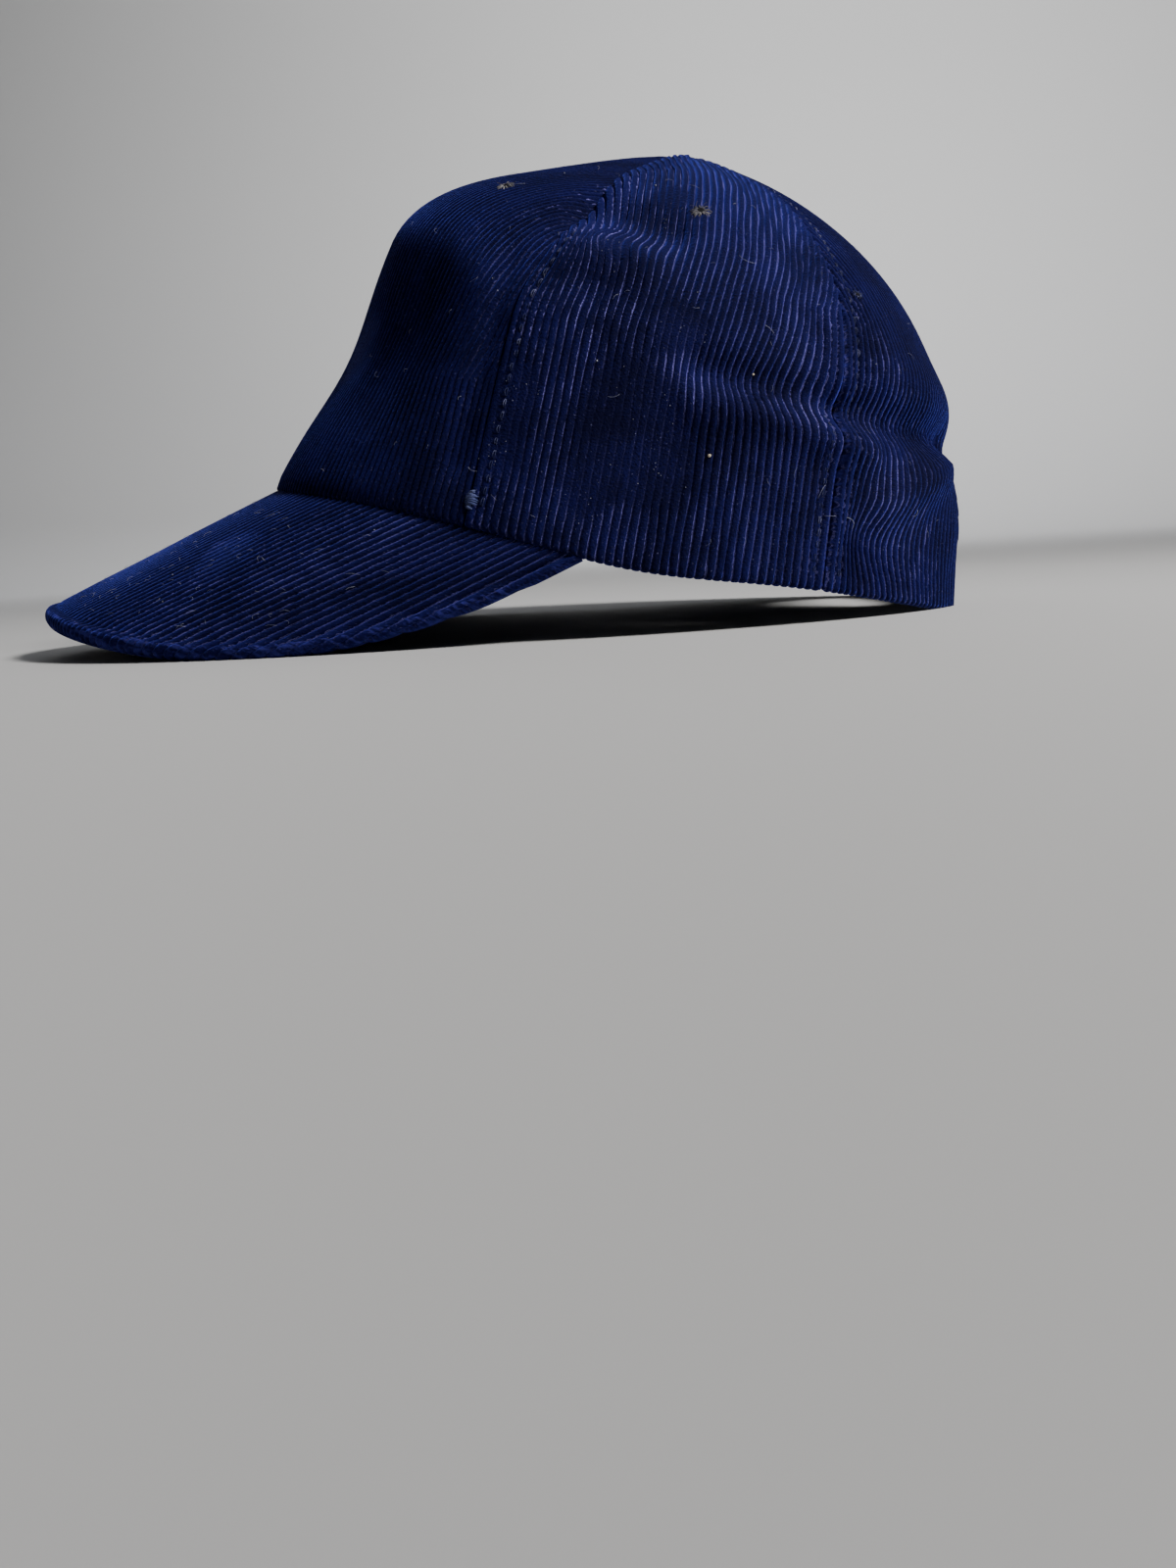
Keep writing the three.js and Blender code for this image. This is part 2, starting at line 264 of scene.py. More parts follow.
class Sock:
    def __init__(self, tree, socket=None):
        self.tree = tree
        self.socket = socket

    def node(self, kind, settings=None, **sockets):  # i0 is the first socket, others go by their names
        made = self.tree.nodes.new(kind)
        for name, value in (settings or {}).items():
            setattr(made, name, value)
        for name, value in sockets.items():
            numbered = name[0] == "i" and name[1:].isdigit()
            target = made.inputs[int(name[1:]) if numbered else name]
            if isinstance(value, Sock):
                self.tree.links.new(value.socket, target)
            else:
                target.default_value = value
        return made

    def out(self, kind, settings=None, output=0, **sockets):
        return Sock(self.tree, self.node(kind, settings, **sockets).outputs[output])

    def math(self, operation, *values):
        sockets = {"i%d" % i: value for i, value in enumerate(values)}
        return self.out("ShaderNodeMath", {"operation": operation}, **sockets)

    __add__ = operator("ADD")
    __radd__ = operator("ADD", swapped=True)
    __sub__ = operator("SUBTRACT")
    __rsub__ = operator("SUBTRACT", swapped=True)
    __mul__ = operator("MULTIPLY")
    __rmul__ = operator("MULTIPLY", swapped=True)
    __truediv__ = operator("DIVIDE")
    __rtruediv__ = operator("DIVIDE", swapped=True)

    def clamp(self, low, high):  # a soft step from 0 to 1
        return self.out("ShaderNodeMapRange", {"interpolation_type": "SMOOTHSTEP"},
                        i0=self, i1=low, i2=high, i3=0.0, i4=1.0)

    def blend(self, first, second):
        return self.out("ShaderNodeMix", {"data_type": "RGBA"}, output=2, i0=self, i6=first, i7=second)

    def noise(self, scale, detail, roughness):  # at the place that this socket holds
        return self.out("ShaderNodeTexNoise", i2=scale, i3=detail, i4=roughness, Vector=self)

    def split(self):
        made = self.node("ShaderNodeSeparateXYZ", i0=self)
        return [Sock(self.tree, made.outputs[i]) for i in range(3)]

    def objectPlace(self):
        return self.out("ShaderNodeTexCoord", output=3)

    def clothMap(self):
        return self.out("ShaderNodeUVMap", {"uv_map": "cloth"})

    def field(self, name):
        return self.out("ShaderNodeAttribute", {"attribute_name": name}, output=2)


def newMaterial(name, constants=None):
    material = bpy.data.materials.new(name)
    material.use_nodes = True
    tree = material.node_tree
    tree.nodes.clear()
    shader = tree.nodes.new("ShaderNodeBsdfPrincipled")
    output = tree.nodes.new("ShaderNodeOutputMaterial")
    tree.links.new(shader.outputs[0], output.inputs[0])
    for socket, value in (constants or {}).items():
        shader.inputs[socket].default_value = value
    return material, shader, Sock(tree)


def linkTo(shader, name, value):
    value.tree.links.new(value.socket, shader.inputs[name])


def applyFinish(shader, colour, roughness, height, strength, depth=0.2 * mm):  # height goes through a bump
    linkTo(shader, "Base Color", colour)
    linkTo(shader, "Roughness", roughness)
    linkTo(shader, "Normal", height.out("ShaderNodeBump", Strength=strength, Distance=depth, Height=height))


def rgb(red, green, blue):
    return (red, green, blue, 1.0)


cord = Sizes(
    pitch=Sizes(front=1.84, side=1.84, back=1.64),  # from wale to wale at the shoulder
    height=0.72,          # of a wale over its groove
    columns=6,            # mesh columns to a wale
    rows=64,
    sink=0.3,             # the wales stand half in and half out of the form
    wall=1.7,
    sway=0.2,             # wales are never quite straight
    felted=0.8,           # how much of a wale goes where the cloth is felted
    feltHeight=0.55,
    # painted shade at the bottom of the grooves
    groove=rgb(0.0001, 0.0002, 0.004),
    pile=rgb(0.0001, 0.0002, 0.012),
    brushed=rgb(0.0026, 0.0026, 0.044),   # pile that was rubbed the other way
    flank=rgb(0.178, 0.163, 0.490),       # painted sheen on the sides of a wale, where the fibres catch the light along their length
    edge=rgb(0.024, 0.024, 0.17),         # pile that stands up along a seam and the peak's rolled edge, lighter, partly a painted highlight where the raised edge catches the light
    lint=rgb(0.09, 0.09, 0.19),
    flankAt=(0.80, 0.90),                 # from the top of a wale at 0 to the groove at 1
    grooveAt=(0.92, 1.0),
    roughness=0.80,
    fibreRoughness=0.18,
    bumpStrength=0.8,
    bumpDepth=0.0005,
    finish={
        "Sheen Weight": 0.36,
        "Sheen Roughness": 0.40,
        "Sheen Tint": rgb(0.10, 0.13, 1.0),
        "Specular IOR Level": 0.08,
    },
)
clothNoises = Sizes(  # waves per mm along a wale and per wale across, layer and detail
    wander=(0.3, 0.9, 5.0, 2.0),
    pucker=(0.75, 0.3, 9.0, 1.0),
    fibre=(1.5, 3.4, 1.0, 3.0),
    grain=(2.8, 6.4, 11.0, 2.0),
    streak=(0.35, 2.3, 0.0, 3.0),
    patch=(0.05, 0.13, 3.0, 3.0),
    speck=(1.9, 3.9, 7.0, 1.0),
)
worn = [  # felted places where the wales hardly show: place and reach in mm, in the cap's own frame
    ((80, -4, 31), 17), ((81.5, 2, 21), 11), ((82, -12, 12), 9), ((67, -15, 68), 6),  # on the left
    ((53, -3, 87), 5), ((76, 4, 52), 8), ((73, -33, 32), 9), ((75, -34, 18), 8),
    ((-80, 8, 30), 14), ((-62, 58, 60), 12),  # on the right
    ((30, -82, 40), 16),  # on the front
    ((26, -128, -30), 17), ((52, -98, -20), 11), ((-34, -122, -26), 15),  # on the peak
]


def feltAt(point):  # 1 where the cloth is felted flat
    felt = np.zeros(point.shape[:-1])
    for spot, reach in worn:
        away = np.linalg.norm(point - np.array(spot), axis=-1) / reach
        felt += 1 - smooth(away, 0.45, 1.2)
    return np.clip(felt, 0, 1)


def makeCorduroy():
    material, shader, s = newMaterial("corduroy", cord.finish)
    wale, way, _ = s.clothMap().split()

    def clothNoise(alongWale, acrossWale, layer, detail):
        place = s.out("ShaderNodeCombineXYZ", i0=wale * acrossWale, i1=way * alongWale, i2=layer)
        return place.noise(1.0, detail, 0.55)
    wander, pucker, fibre, grain, streak, patch, speck = [clothNoise(*row) for row in clothNoises.values()]
    seamNear = s.field("seamNear")
    # how strong the painted flank sheen is here, lower where the panel stands in shade
    nap = s.field("nap")
    bent = wale + (wander - 0.5) * 0.16 + (fibre - 0.5) * 0.10
    cell = wale.math("FRACT", bent + (pucker - 0.5) * seamNear * 0.9)
    ridge = wale.math("ABSOLUTE", cell * 2 - 1)  # 0 along the top of a wale, 1 in the groove
    place = s.objectPlace()
    ragged = (patch - 0.5) * 1.8
    felt = 0.0
    for spot, reach in worn:
        centre = tuple(toFrame(np.array(spot, float)))
        away = s.out("ShaderNodeVectorMath", {"operation": "DISTANCE"}, output=1, i0=place, i1=centre)
        felt = felt + (1 - (away / (reach * mm) + ragged).clamp(0.6, 1.3))
    kept = 1 - (felt + seamNear * patch * 1.1).clamp(0.0, 1.0) * 0.92
    rubbed = (patch * 0.85 + streak * 0.3 + fibre * 0.4 + grain * 0.45 + seamNear * 0.14).clamp(0.82, 1.28)
    colour = rubbed.blend(cord.pile, cord.brushed)
    broken = (streak * 0.9 + fibre * 0.9 + patch * 1.7).clamp(1.25, 2.1)
    broken = broken * (grain.clamp(0.34, 0.6) * 0.6 + 0.4)
    # painted sheen: a pale line along each wale's flank, where light would catch the fibres, scaled per
    # panel and height
    colour = (ridge.clamp(*cord.flankAt) * broken * kept * nap).blend(colour, cord.flank)
    # painted shade darkens the bottom of each groove
    colour = (ridge.clamp(*cord.grooveAt) * kept).blend(colour, cord.groove)
    # lighter pile right at a seam and along the peak's rolled edge: standing fuzz and a painted highlight on
    # the raised edge
    edge = seamNear.clamp(0.955, 0.995) * (pucker * 0.6 + fibre * 0.4).clamp(0.45, 0.62) * 0.8
    colour = edge.blend(colour, cord.edge)
    linted = speck.clamp(0.66, 0.78) * (patch + streak).clamp(0.75, 1.2) * 0.7
    colour = linted.blend(colour, cord.lint)
    roughness = cord.roughness + fibre * cord.fibreRoughness
    height = fibre * 0.9 + streak * 0.4
    applyFinish(shader, colour, roughness, height, cord.bumpStrength, cord.bumpDepth)
    return material


weaveBack = Sizes(dark=rgb(0.006, 0.009, 0.04), light=rgb(0.012, 0.017, 0.07), perWale=22.0, perMm=9.0)


def makeClothBack():
    material, shader, s = newMaterial("cloth_back", {"Specular IOR Level": 0.2})
    wale, way, _ = s.clothMap().split()
    warp = wale.math("SINE", wale * weaveBack.perWale)
    weft = way.math("SINE", way * weaveBack.perMm)
    weave = warp * weft * 0.5 + 0.5
    applyFinish(shader, weave.blend(weaveBack.dark, weaveBack.light), 0.82 + weave * 0.1, weave, 0.3)
    return material


corduroy = makeCorduroy()
clothBack = makeClothBack()
print("cloth materials made")


def keepPiece(piece, node):
    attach(piece, "root")
    if node:
        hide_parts(node)


def addGrid(name, places):  # a flat grid with a point for each place
    rows, columns = places.shape[:2]
    bpy.ops.object.select_all(action="DESELECT")
    bpy.ops.mesh.primitive_grid_add(x_subdivisions=columns - 1, y_subdivisions=rows - 1, size=1)
    piece = bpy.context.object
    piece.name = name
    piece.data.name = name
    return piece


def cleanFaces(inside=False, merge=False):  # of the active object
    bpy.ops.object.mode_set(mode="EDIT")
    bpy.ops.mesh.select_all(action="SELECT")
    if merge:
        bpy.ops.mesh.remove_doubles(threshold=1e-5)
    bpy.ops.mesh.normals_make_consistent(inside=inside)
    bpy.ops.object.mode_set(mode="OBJECT")
    bpy.ops.object.shade_smooth()


def addWall(name, outer, inner, uv, materials, fields=None):  # a closed wall between two grids
    piece = addGrid(name, outer)
    mesh = piece.data
    corner = np.empty(len(mesh.loops), int)
    mesh.loops.foreach_get("vertex_index", corner)
    layer = mesh.uv_layers.active or mesh.uv_layers.new()
    layer.name = "cloth"
    layer.data.foreach_set("uv", uv.reshape(-1, 2)[corner].reshape(-1))
    for material in materials:
        mesh.materials.append(material)
    solidify = piece.modifiers.new("wall", "SOLIDIFY")
    solidify.thickness = 0.1  # any, because both sides get their places below
    solidify.offset = -1
    solidify.material_offset = 1
    bpy.ops.object.modifier_apply(modifier=solidify.name)
    mesh = piece.data
    places = np.concatenate([toFrame(outer).reshape(-1, 3), toFrame(inner).reshape(-1, 3)])
    places[:, 2] = np.maximum(places[:, 2], 0)  # pressed flat on the floor
    mesh.vertices.foreach_set("co", places.reshape(-1))
    for field, values in (fields or {}).items():
        attribute = mesh.attributes.new(field, "FLOAT", "POINT")
        attribute.data.foreach_set("value", np.tile(values.reshape(-1), 2))
    mesh.update()
    bpy.ops.object.shade_smooth_by_angle(angle=math.radians(80))
    return piece


def addCloth(name, outer, inner, uv, fields):
    piece = addWall(name + "_cloth", outer, inner, uv, (corduroy, clothBack), fields)
    keepPiece(piece, name)
    print(name, len(piece.data.polygons), "faces")


def waleRelief(across, shape, pitch):  # broad flat wales with narrow grooves
    cell = np.abs(2 * np.mod(np.broadcast_to(across + pitch / 2, shape) / pitch, 1) - 1)
    return cord.height * (1 - cell ** 3)


def clothUv(across, pitch, firstWale, way):
    return np.stack([np.broadcast_to(across / pitch + 0.5, way.shape) + firstWale, way], -1)


arch = Sizes(halfWidth=33, height=45, topClimb=0.45, tries=120, shortest=0.01)


def underArch(point):
    share = np.clip(1 - (point[..., 0] / arch.halfWidth) ** 2, 0, None)
    return (point[..., 1] > 0) & (share > 0) & (point[..., 2] < arch.height * np.sqrt(share))


climbLength = 165.0  # along the cloth from the rim to the tip
panelSurvey = Sizes(levels=180, columns=141)  # how finely a panel is measured before it is cut
panelTrim = 0.02  # mm left off at the widest edges
firstCrownWale = 40  # the count starts here, so that none is negative
gatherTo = Sizes(front=0.22, side=0.45, back=0.45)  # up to this climb the wales draw closer
closing = Sizes(length=6.5, most=0.4,  # rows close up towards a seam
                steps=np.array([1, 0.76, 0.56, 0.4, 0.27, 0.17, 0.09, 0.03, 0]))
hem = Sizes(
    roll=1.3, lift=0.5, rows=5,
    wale=0.45, pressed=0.6,                     # underneath, wales are pressed towards this height
    tuck=1.3, tuckOver=5.5, tuckEnds=(42, 60),  # the front is tucked in over the peak
)
allowance = Sizes(  # cloth turned under lifts a seam
    width=5.5, soft=1.5, inset=0.8, front=0.1, low=0.15, proud=0.8, middle=0.3,
    lapClimbs=(0.22, 0.36), startClimbs=(0.02, 0.1),
)
toe = Sizes(  # on top the side's wales end in toes that stand proud of the front panel
    rise=1.2, climbs=(0.46, 0.56), fade=0.8, fadeClimbs=(0.88, 0.98),
    length=3.5, groove=0.3, swell=0.5, rounding=1.4,
)
crevice = Sizes(front=0.2, frontWidth=0.4, back=0.7, backWidth=0.55, wale=0.8, waleGain=0.2, waleSpan=1.0)
stitchPull = Sizes(offset=3.8, width=0.8, front=0.15, back=0.4, climbs=(0.01, 0.03))  # by the topstitching
hook = Sizes(width=5.5, slide=0.026, before=1.6, climbs=(0.46, 0.56), fadeClimbs=(0.8, 0.95))
fluffed = Sizes(frontPanel=0.5, frontSeam=0.95, frontWidth=8, backWidth=5)  # pile that is ruffled by a seam, which also carries the painted highlight on the seam's edge
flankSheenShares = Sizes(  # painted light and shade on a wale's flanks: how strong the painted sheen is low and high on a panel, and between which climbs that changes
    front=(0.34, 1.3, 0.46, 0.6),
    side=(0.72, 1.2, 0.08, 0.26),
    back=(1.0, 1.12, 0.1, 0.3),
)
drifts = {  # where folds push the wales: degrees from the front, height, reach along and up, and shift
    "under the pinch": (79, 71, 15, 6.5, -3.4),
    "at the side crease": (112, 44, 20, 10, -3.6),
    "under the pull": (136, 13, 16, 9, -4.5),
    "into the back crease": (146, 36, 20, 10, 3.8),
}
driftFree = Sizes(drift=13, sway=5, tipRadius=8)  # near a seam the wales keep their places


def driftAt(azimuth, height):
    pushed = np.zeros(height.shape)
    for turn, level, reachAlong, reachUp, shift in drifts.values():
        along = np.radians(turnOf(azimuth) - turn) * crown.headRadius / reachAlong
        up = (height - level) / reachUp
        pushed += shift * np.exp(-along ** 2 - up ** 2)
    return pushed * np.sign(azimuth)


swayWaves = Sizes(long=5.1, short=3.3, swell=17)  # mm along a wale


def swayAt(wale, way):  # each wale has its own phases
    longWave = np.sin(way / swayWaves.long + wale * 0.9)
    shortWave = np.sin(way / swayWaves.short - wale * 1.7 + 2 * np.sin(wale * 0.37))
    return cord.sway * (longWave + shortWave) * (0.4 + 0.3 * np.sin(way / swayWaves.swell + wale * 0.23))


def layPanel(kind, startSeam, endSeam):  # climbs, turns, and the cloth's width from the panel's middle line
    levels = np.linspace(0, crown.lastClimb, panelSurvey.levels)
    start = startSeam(levels)
    end = endSeam(levels)
    reach = outline((start + end) / 2, levels)[0]
    margin = np.minimum(seam.gap / 2 / reach, (end - start) / seam.tipShare)
    shares = np.linspace(0, 1, panelSurvey.columns)
    turns = (start + margin)[:, None] + (end - start - 2 * margin)[:, None] * shares
    steps = np.linalg.norm(np.diff(smoothCrown(turns, levels[:, None]), axis=1), axis=-1)
    widths = np.concatenate([np.zeros((len(levels), 1)), np.cumsum(steps, axis=1)], axis=1)
    middle = panelSurvey.columns // 2
    widths = widths - widths[:, middle:middle + 1]
    gathered = np.searchsorted(levels, gatherTo[kind])
    for half, edge in ((slice(0, middle), 0), (slice(middle + 1, None), 2 * middle)):
        widths[:gathered, half] *= widths[gathered, edge] / widths[:gathered, edge:edge + 1]
        widest = np.argmax(np.abs(widths[:, edge]))
        widths[:widest, half] *= widths[widest, edge] / widths[:widest, edge:edge + 1]  # eased to the rim
    return levels, turns, widths


def cutWales(kind, levels, azimuths, widths):  # mesh columns along the wales, from rim or arch to seam
    spacing = cord.pitch[kind] / cord.columns
    first = math.ceil((widths[:, 0].min() + panelTrim) / spacing)
    last = math.floor((widths[:, -1].max() - panelTrim) / spacing)
    rowsBetween = cord.rows - hem.rows - len(closing.steps) + 1
    across, climbs, turns = [], [], []

    def turnAt(offset, climb):
        place = np.clip(climb / levels[1], 0, len(levels) - 1.001)
        row = place.astype(int)
        both = np.array([[np.interp(offset, widths[i], azimuths[i]) for i in (k, k + 1)] for k in row])
        return both[:, 0] + (both[:, 1] - both[:, 0]) * (place - row)
    for offset in np.arange(first, last + 1) * spacing:
        top = np.nonzero((widths[:, 0] <= offset) & (widths[:, -1] >= offset))[0][-1]
        low = 0.0
        high = levels[top]
        edge = widths[:, 0] if offset < 0 else widths[:, -1]
        if top + 1 < len(levels):  # on up to the very seam
            high += (levels[top + 1] - levels[top]) * (edge[top] - offset) / (edge[top] - edge[top + 1])
        if kind == "back":
            tries = np.linspace(0, min(high, arch.topClimb), arch.tries)
            covered = np.nonzero(underArch(smoothCrown(turnAt(offset, tries), tries)))[0]
            if len(covered):
                low = tries[min(covered[-1] + 1, len(tries) - 1)]
            if high - low < arch.shortest:  # nothing of this wale is left beside the arch
                continue
        hemEnd = min(low + hem.roll * math.pi / 2 / climbLength, (low + high) / 2)
        tail = min(closing.length / climbLength, closing.most * (high - hemEnd))
        column = np.concatenate([np.linspace(low, hemEnd, hem.rows),
                                 np.linspace(hemEnd, high - tail, rowsBetween + 1)[1:-1],
                                 high - tail * closing.steps])
        across.append(offset)
        climbs.append(column)
        turns.append(turnAt(offset, column))
    return np.array(across), np.array(climbs).T, np.array(turns).T


def hookOver(turns, climbs):  # on top the wales hook over to meet the front seam squarely
    turn = np.abs(turns)
    beside = (turn - frontSeam(climbs)) * outline(turns, climbs)[0]
    hooked = np.where(turn < hook.before, np.clip(1 - beside / hook.width, 0, 1) ** 2, 0)
    slide = hook.slide * hooked * smooth(climbs, *hook.climbs) * (1 - smooth(climbs, *hook.fadeClimbs))
    lowered = climbs - slide
    return np.sign(turns) * (frontSeam(lowered) + beside / outline(turns, lowered)[0]), lowered


def panelRelief(kind, turns, climbs, distance, ribs, nearFront, nearBack):  # over the form, in mm
    def bySeam(front, back):
        return np.where(nearFront, front, back)
    slot = bell(distance, bySeam(crevice.frontWidth, crevice.backWidth))
    waleShare = crevice.wale + crevice.waleGain * smooth(distance, 0, crevice.waleSpan)
    relief = ribs * waleShare - bySeam(crevice.front, crevice.back) * slot
    turnedEnd = smooth(distance, allowance.width - allowance.soft, allowance.width + allowance.soft)
    turned = smooth(distance, 0, allowance.inset) - turnedEnd
    onTop = smooth(climbs, *toe.climbs) * (1 - toe.fade * smooth(climbs, *toe.fadeClimbs))
    upper = smooth(climbs, *allowance.lapClimbs)  # up there the side laps over the back, below it is lapped
    lap = upper if kind == "side" else 1 - upper
    lapped = allowance.low + (allowance.proud - allowance.low) * lap
    rise = bySeam(0, np.where(nearBack, lapped, allowance.middle))
    if kind == "side":
        rise = bySeam(allowance.front + toe.rise * onTop, rise)
        toes = onTop * bySeam(bell(distance, toe.length), 0)
        relief += toes * (ribs / cord.height - toe.groove) * toe.swell
    relief = relief + turned * rise * smooth(climbs, *allowance.startClimbs)
    rounded = np.sqrt(1 - (1 - np.clip(distance / toe.rounding, 0, 1)) ** 2)
    relief = relief * (1 - bySeam(onTop, 0) * (1 - rounded))
    if kind == "front":
        low = np.clip(1 - climbs * climbLength / hem.tuckOver, 0, 1)
        relief -= hem.tuck * low ** 2 * (1 - smooth(turnOf(turns), *hem.tuckEnds))
    stitched = np.where(nearFront & (kind == "front"), 0, smooth(climbs, *stitchPull.climbs))
    pulled = stitched * bySeam(stitchPull.front, stitchPull.back)
    return relief - (cord.sink + pulled * bell(distance - stitchPull.offset, stitchPull.width))


def hemRoll(points, turns, climbs, relief):  # the lowest rows turn in under the rim, wales and all
    middle = (hem.roll + hem.lift) / climbLength
    bendEnd = middle + hem.roll * (math.pi / 2 - 1) / climbLength
    angle = np.clip(1 - climbs / bendEnd, 0, 1) * math.pi / 2
    centre = crownPoint(turns, middle, hem.roll)
    out = unit(crownPoint(turns, middle, -1.0) - crownPoint(turns, middle))
    up = unit(crownPoint(turns, middle + 0.004) - crownPoint(turns, middle))
    radius = hem.roll + relief - (relief - hem.wale) * hem.pressed * angle / (math.pi / 2)
    way = out * np.cos(angle)[..., None] - up * np.sin(angle)[..., None]
    rolled = centre + radius[..., None] * way
    return np.where(climbs[..., None] < bendEnd, rolled, points)


def crownPanel(name, startSeam, endSeam):
    kind = name.split("_")[0]
    pitch = cord.pitch[kind]
    across, climbs, turns = cutWales(kind, *layPanel(kind, startSeam, endSeam))
    if kind == "side":
        turns, climbs = hookOver(turns, climbs)
    place = smoothCrown(turns, climbs)
    distance = seamDistance(turns, climbs, place)
    wale = np.floor(across / pitch + 0.5)[None, :]
    way = climbs * climbLength
    sideways = driftAt(turns, place[..., 2]) * smooth(distance, 0, driftFree.drift)
    sideways += swayAt(wale, way) * smooth(distance, 0, driftFree.sway)
    turns = turns + sideways / np.maximum(np.hypot(place[..., 0], place[..., 1]), driftFree.tipRadius)
    felted = cord.felted * feltAt(place)
    ribs = waleRelief(across, climbs.shape, pitch) * (1 - felted) + cord.feltHeight * cord.height * felted
    nearFront = np.abs(turnOf(turns) - np.degrees(frontSeam(climbs))) < seam.nearby
    nearBack = np.abs(turnOf(turns) - np.degrees(backSeam(climbs))) < seam.nearby
    relief = panelRelief(kind, turns, climbs, distance, ribs, nearFront, nearBack)
    outer = crownPoint(turns, climbs, -relief)
    onRim = climbs[:1] <= 0
    outer = np.where(onRim[..., None], hemRoll(outer, turns, climbs, relief), outer)
    inner = crownPoint(turns, climbs, cord.wall)
    seamNear = bell(distance, np.where(nearFront, fluffed.frontWidth, fluffed.backWidth))
    seamNear = np.where(nearFront, fluffed["frontPanel" if kind == "front" else "frontSeam"], 1) * seamNear
    # painted sheen strength on the flanks, lower where the panel is in shade
    low, high, *changes = flankSheenShares[kind]
    nap = low + (high - low) * smooth(climbs, *changes)
    uv = clothUv(across, pitch, firstCrownWale, way)
    addCloth(name, outer, inner, uv, dict(seamNear=seamNear, nap=nap))


def mirrored(line):
    return lambda climb: -line(climb)


crownPanel("front_panel", mirrored(frontSeam), frontSeam)
crownPanel("side_panel_left", frontSeam, backSeam)
crownPanel("side_panel_right", mirrored(backSeam), mirrored(frontSeam))
crownPanel("back_panel_left", backSeam, backMiddle)
crownPanel("back_panel_right", mirrored(backMiddle), mirrored(backSeam))
print("crown made")


peakCord = Sizes(
    pitch=2.1, survey=801, lastTurn=0.96, firstWale=140, sink=0.25, felted=0.6, nap=1.1,
    splay=0.05, splayStart=(0, 0.4), splayEnd=(0.7, 0.99),  # wales spread towards the crown
    roll=2.0,                                               # the edge is rounded
    ribHeight=0.4, ribAt=1.7, ribWidth=1.1,                 # and swollen
    grooveDepth=0.3, grooveAt=4.1, grooveWidth=0.9,         # up to where it is stitched
    # how far the edge's rubbed pile and its painted highlight reach
    rough=1.7, roughWidth=3.2,
    edgeRows=[0, 0.12, 0.35, 0.7, 1.2, 1.8, 2.5, 3.2, 3.9, 4.6, 5.5],  # mm from the edge
    innerRows=(7.5, 23),
)


def peakCover(name, lower):
    pitch = peakCord.pitch
    lastTurn = peakCord.lastTurn * math.pi / 2
    sides = np.sin(np.linspace(-lastTurn, lastTurn, peakCord.survey))
    roots = peakPoint(sides, 0)
    widths = runAlong(roots - (roots @ peakRun)[:, None] * peakRun)
    widths -= widths[len(sides) // 2]
    last = math.floor(widths[-1] / (pitch / cord.columns))
    across = np.arange(-last, last + 1) * (pitch / cord.columns)
    side = np.interp(across, widths, sides)
    firstRow, innerRows = peakCord.innerRows
    toEdge = np.concatenate([peakCord.edgeRows, np.linspace(firstRow, peak.length, innerRows)])
    along = (1 - toEdge / peak.length)[:, None]
    face = 2 * peak.cover + peak.gap if lower else 0.0
    back = peak.cover + peak.gap if lower else peak.cover
    flip = -1 if lower else 1
    spread = smooth(np.abs(side), *peakCord.splayStart) * (1 - smooth(np.abs(side), *peakCord.splayEnd))
    laid = side[None, :] + peakCord.splay * (1 - along) * (np.sign(side) * spread)[None, :]
    base = peakPoint(laid, along, face)
    up = unit(peakPoint(laid, along, -1.0) - peakPoint(laid, along)) * flip
    edgeWay = unit(np.gradient(base[0], axis=0))
    outwards = unit(peakRun - (edgeWay @ peakRun)[:, None] * edgeWay)  # square to the edge
    distance = (1 - along) * peakLength(side) * (outwards @ peakRun)
    sine = np.clip(1 - distance / peakCord.roll, 0, 1)[..., None]
    cosine = np.sqrt(1 - sine * sine)
    relief = waleRelief(across, distance.shape, pitch) - peakCord.sink
    relief = relief * (1 - peakCord.felted * feltAt(base))
    relief = relief + peakCord.ribHeight * bell(distance - peakCord.ribAt, peakCord.ribWidth)
    relief = relief - peakCord.grooveDepth * bell(distance - peakCord.grooveAt, peakCord.grooveWidth)
    outer = base - up * peakCord.roll * (1 - cosine) + (up * cosine + outwards * sine) * relief[..., None]
    inner = peakPoint(laid, along, back)
    uv = clothUv(across, pitch, peakCord.firstWale, along * peakLength(side)[None, :])
    seamNear = peakCord.rough * bell(distance, peakCord.roughWidth)
    fields = dict(seamNear=seamNear, nap=np.full(distance.shape, peakCord.nap))
    if lower:  # its face looks down
        outer, inner, uv = outer[:, ::-1], inner[:, ::-1], uv[:, ::-1]
        fields = {field: values[:, ::-1] for field, values in fields.items()}
    addCloth(name, outer, inner, uv, fields)


peakCover("peak_top", False)
peakCover("peak_under", True)
print("peak made")

# threads: joined meshes of short tubes that follow the cloth

thread = Sizes(
    step=3, length=2.8, radius=0.1, bow=0.36, height=0.52, bury=0.6,
    ends=0.5,       # mm left bare at each end of a row
    sides=5, rings=6, wayPoints=160,
)


def makeThread(name, dark, light):
    material, shader, s = newMaterial(name, {"Specular IOR Level": 0.15})
    place = s.objectPlace()
    twist = place.noise(2600.0, 2.0, 0.5)
    # random mottling of the thread's tone; the light end of the navy thread is a painted glint
    toneAndGlint = place.noise(240.0, 3.0, 0.6)
    shade = (twist * 0.4 + toneAndGlint * 0.7).clamp(0.48, 0.8)
    applyFinish(shader, shade.blend(dark, light), 0.7 + twist * 0.2, twist, 0.5)
    return material


